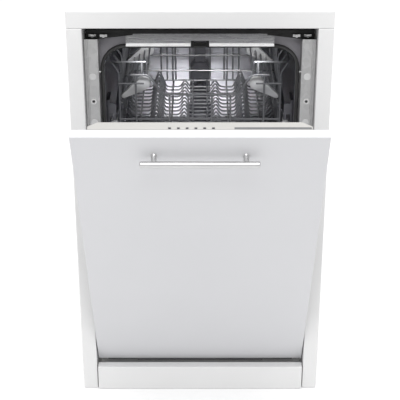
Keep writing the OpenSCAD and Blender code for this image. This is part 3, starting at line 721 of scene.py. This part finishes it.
def spray_arm(name, spin, hub_r, bore_r, drop):
    """Crowned blades on a hub, with a row of raised nozzles along each."""
    lo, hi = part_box(name)
    hub = joint_at(spin)
    place = Matrix.Translation((hub.x, hub.y, lo.z - drop))
    stations = 48
    bm = bmesh.new()
    rings = [blade_ring(bm, place, hi.x * 0.999 * -math.cos(math.pi * i / stations), hi.x)
             for i in range(stations + 1)]
    close_rings(bm, rings, False)
    up = Matrix.Rotation(-math.pi / 2, 4, "Y")
    top = 0.014
    cup = [(drop, bore_r), (drop, hub_r - 0.001), (drop + 0.001, hub_r),
           (top - 0.002, hub_r), (top, hub_r - 0.002), (top, bore_r)]
    lathe(bm, cup, place @ up, 40, closed=True)
    nozzle = [(0.0085, 0.0042), (0.0102, 0.0040), (0.0107, 0.0032), (0.0107, 0.0016),
              (0.0092, 0.0012)]
    pitch, off_line = 0.024, 0.007
    for i in range(-5, 6):
        x = pitch * i + (0.012 if i >= 0 else -0.012)
        if abs(x) < 0.03:
            continue
        side = off_line if x > 0 else -off_line
        lathe(bm, nozzle, place @ Matrix.Translation((x, side, 0)) @ up, 16)
    piece(name + "_blades", bm, "grey_plastic", name, name)


def mouth_line():
    """The tub mouth's outline as points with their outward directions."""
    lo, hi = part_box("mouth_gasket")
    seal, top_r, foot_r = 0.007, 0.043, 0.012
    wide, top, foot = hi.x - seal, hi.z - seal, lo.z + seal
    out = []
    corners = ((wide, top, top_r, 0), (-wide, top, top_r, 90), (-wide, foot, foot_r, 180),
               (wide, foot, foot_r, 270))
    for x, z, r, start in corners:
        centre = Vector((x - math.copysign(r, x), 0, z - (r if z == top else -r)))
        for k in range(9):
            t = math.radians(start + 90 * k / 8)
            away = Vector((math.cos(t), 0, math.sin(t)))
            out.append((centre + away * r, away))
    return out


def mouth_gasket():
    """The tub's door seal: a soft bulb with a groove behind it, all round the mouth."""
    # outward from the mouth and along Y, in millimetres
    lip = [(0.4, 59.9), (6.6, 59.9), (7.0, 58.8), (6.8, 56.6), (5.9, 55.2), (6.6, 53.6),
           (5.7, 51.5), (3.7, 50.5), (1.7, 51.1), (0.5, 53.2), (1.3, 55.4), (0.3, 57.4)]
    bm = bmesh.new()
    rings = [[bm.verts.new(p + away * (a * 0.001) + Vector((0, y * 0.001, 0))) for a, y in lip]
             for p, away in mouth_line()]
    close_rings(bm, rings, True)
    piece("mouth_gasket_lip", bm, "gasket_rubber", "machine", "mouth_gasket")


def door_springs():
    """Coiled balance springs beside the hinges, hooked to the base."""
    turns, start, pitch, coil_r, wire_r = 29, 0.124, 0.0041, 0.005, 0.001
    z, steps = 0.100, 12
    bm = bmesh.new()
    for s in (-1, 1):
        x = s * 0.194
        coil = [Vector((x, 0.117, z)), Vector((x, 0.121, z))]
        for k in range(turns * steps):
            t = 2 * math.pi * k / steps
            coil.append(Vector((x + coil_r * math.cos(t), start + pitch * k / steps,
                                z + coil_r * math.sin(t))))
        coil += [Vector((x, 0.247, z)), Vector((x, 0.252, z))]
        wire(bm, coil, wire_r, bend=0, sides=6)
        side_box(bm, s, (0.191, 0.205), (0.250, 0.256), (z - 0.006, z + 0.006), 0.001)
    piece("door_spring_coils", bm, "screw_steel", "machine", "door_springs")


def kick_plate():
    """Painted sheet with eased edges over the middle of the base's front."""
    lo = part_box("base_tray")[0]
    half, height, thick = 0.1415, 0.060, 0.0006
    bm = bmesh.new()
    soft_box(bm, Vector((-half, lo.y - thick, lo.z + 0.001)),
             Vector((half, lo.y + 0.0001, lo.z + height)), 0.0002)
    piece("kick_plate", bm, "dark_sheet", "machine")


# ---- door ----

def door_handle():
    """Round bar with eased ends on two posts, each with a small foot."""
    bar_y, bar_z = -0.020, 0.778
    end = 0.104
    bar = [(-end, 0.0044), (-end + 0.0004, 0.0053), (-end + 0.0014, 0.0059), (-end + 0.0024, 0.006)]
    bar += [(-x, r) for x, r in bar[::-1]]
    bm = bmesh.new()
    lathe(bm, bar, on_door() @ Matrix.Translation((0, bar_y, bar_z)), 48)
    post = [(0, 0.0049), (0.0172, 0.0049), (0.0182, 0.0052), (0.0190, 0.0058), (0.0200, 0.0060)]
    for s in (-1, 1):
        turn = Matrix.Translation((s * 0.080, bar_y, bar_z)) @ Matrix.Rotation(math.pi / 2, 4, "Z")
        lathe(bm, post, on_door() @ turn, 32)
    piece("door_handle_bar", bm, "handle_steel", "door", "door_handle")


# ---- studio ----

def floor():
    """A plain pale floor, a hair below the object's feet."""
    half, below = 30, 0.0005
    bm = bmesh.new()
    bmesh.ops.create_grid(bm, x_segments=2, y_segments=2, size=half)
    mesh = bpy.data.meshes.new("studio_floor")
    bm.to_mesh(mesh)
    bm.free()
    obj = bpy.data.objects.new("studio_floor", mesh)
    bpy.context.scene.collection.objects.link(obj)
    mat, nt, bsdf = surface("studio_floor")
    nt.links.new(blend(nt, noise(nt, 2), grey(0.90), grey(0.93)), bsdf.inputs["Base Color"])
    bsdf.inputs["Roughness"].default_value = 0.9
    bsdf.inputs["Emission Color"].default_value = (1, 1, 1, 1)
    bsdf.inputs["Emission Strength"].default_value = 0.06
    mesh.materials.append(mat)
    obj.location.z = -below


def softbox(name, place, aim, width, height, power, spread=180):
    """A rectangular soft lamp at a place, turned towards a point, with its beam's spread."""
    data = bpy.data.lights.new(name, "AREA")
    data.shape = "RECTANGLE"
    data.size, data.size_y = width, height
    data.energy = power
    data.spread = math.radians(spread)
    lamp = bpy.data.objects.new(name, data)
    lamp.location = place
    lamp.rotation_euler = (Vector(aim) - Vector(place)).to_track_quat("-Z", "Y").to_euler()
    lamp.visible_camera = False
    bpy.context.scene.collection.objects.link(lamp)


def lights():
    """Pale surroundings, a wide lamp overhead, one high in front and a faint one at the foot.

    Three small ones stand in the tub's mouth, behind the face of the shut door: two below the
    upper basket, aimed up at the back wall, and one above it, aimed down on its wires.
    """
    world = bpy.data.worlds.new("studio")
    bpy.context.scene.world = world
    world.use_nodes = True
    back = world.node_tree.nodes["Background"]
    back.inputs["Color"].default_value = (1, 1, 1, 1)
    back.inputs["Strength"].default_value = 0.75
    softbox("overhead", (0, 0.6, 3.4), (0, 0.6, 0), 4.0, 4.0, 77)
    softbox("front_fill", (0, -1.6, 2.7), (0, 0, 0.65), 1.4, 1.0, 32)
    softbox("low_front", (0, -1.1, 0.5), (0, 0, 0.06), 1.2, 0.3, 0.12)
    softbox("into_tub", (0, 0.035, 0.41), (0, 0.54, 0.68), 0.16, 0.05, 0.014, 30)
    softbox("low_in_tub", (0, 0.035, 0.25), (0, 0.54, 0.49), 0.20, 0.04, 0.030, 28)
    softbox("onto_baskets", (0, 0.035, 0.766), (0, 0.54, 0.48), 0.26, 0.02, 0.22, 56)


def camera():
    """The photograph's viewpoint: straight in front, looking down into the open door."""
    look_down = 26.71
    data = bpy.data.cameras.new("camera")
    data.lens, data.sensor_width = 106.67, 36
    data.shift_y = -0.0143
    cam = bpy.data.objects.new("camera", data)
    cam.location = (0, -2.14725, 1.55875)
    cam.rotation_euler = (math.radians(90 - look_down), 0, 0)
    bpy.context.scene.collection.objects.link(cam)
    bpy.context.scene.camera = cam


camera()
lights()
floor()
bpy.context.scene.view_settings.view_transform = "Standard"

upper_basket_floor()
upper_basket_sides()
upper_basket_rails()
cup_shelf(-1, "cup_shelf_left")
cup_shelf(1, "cup_shelf_right")
lower_basket()
wheel_mounts()
wheels("front_wheels_roll", "lower_wheels_front")
wheels("rear_wheels_roll", "lower_wheels_rear")
rail_rollers()
folding_tines()
spray_arm("lower_spray_arm", "lower_arm_spin", 0.019, 0.00905, -0.010)
spray_arm("upper_spray_arm", "upper_arm_spin", 0.018, 0.00805, -0.0055)
mouth_gasket()
door_springs()
kick_plate()
door_handle()

paint_cad_nodes()
soften(0.0008, "housing_left_panel", "housing_right_panel", "housing_worktop", "plinth_panel")
soften(0.0004, "decor_panel", "front_uprights", "top_trim_strip", "control_console",
       "top_front_rail", "worktop_brackets", "roller_brackets", "dispenser_body",
       "feed_duct", "upper_feed_pipe", "cutlery_basket")
